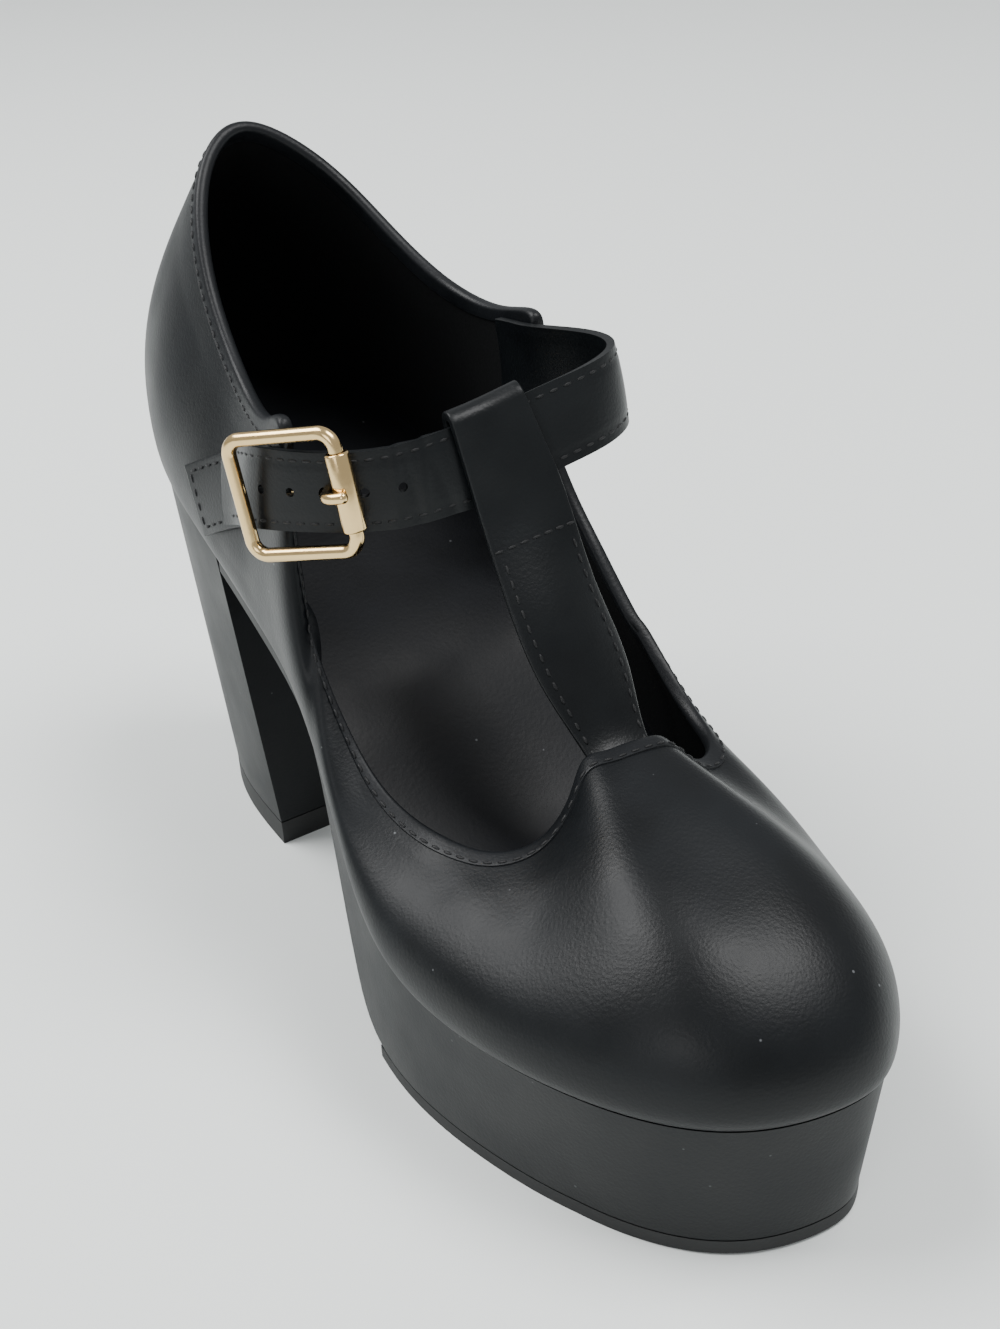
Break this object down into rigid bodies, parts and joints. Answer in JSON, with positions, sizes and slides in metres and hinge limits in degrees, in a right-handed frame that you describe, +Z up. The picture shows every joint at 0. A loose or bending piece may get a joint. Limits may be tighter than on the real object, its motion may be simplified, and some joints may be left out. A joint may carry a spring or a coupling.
{
  "type": "platform shoe",
  "caption": "Closed-toe platform shoe with a high block heel, a T-strap over an open instep and a buckled ankle strap; one right shoe.",
  "frame": {"origin": "on the floor under the middle of the shoe's bounding box", "axes": "+Z up, toe towards -Y, heel towards +Y, the wearer's outer side towards -X"},
  "size_m": [0.0822, 0.2268, 0.1625],
  "materials": {
    "upper_leather": "satin",
    "strap_leather": "satin",
    "sole_wrap": "satin",
    "outsole_rubber": "matte",
    "insole_leather": "satin",
    "buckle_metal": "polished"
  },
  "bodies": {
    "root": {"upper": "upper_leather", "insole": "insole_leather", "platform": "sole_wrap", "outsole": "outsole_rubber", "heel_block": "sole_wrap", "heel_tip": "outsole_rubber", "ankle_strap": "strap_leather", "t_strap": "strap_leather", "buckle_tab": "strap_leather", "buckle_frame": "buckle_metal", "buckle_roller": "buckle_metal", "buckle_prong": "buckle_metal"}
  },
  "joints": []
}
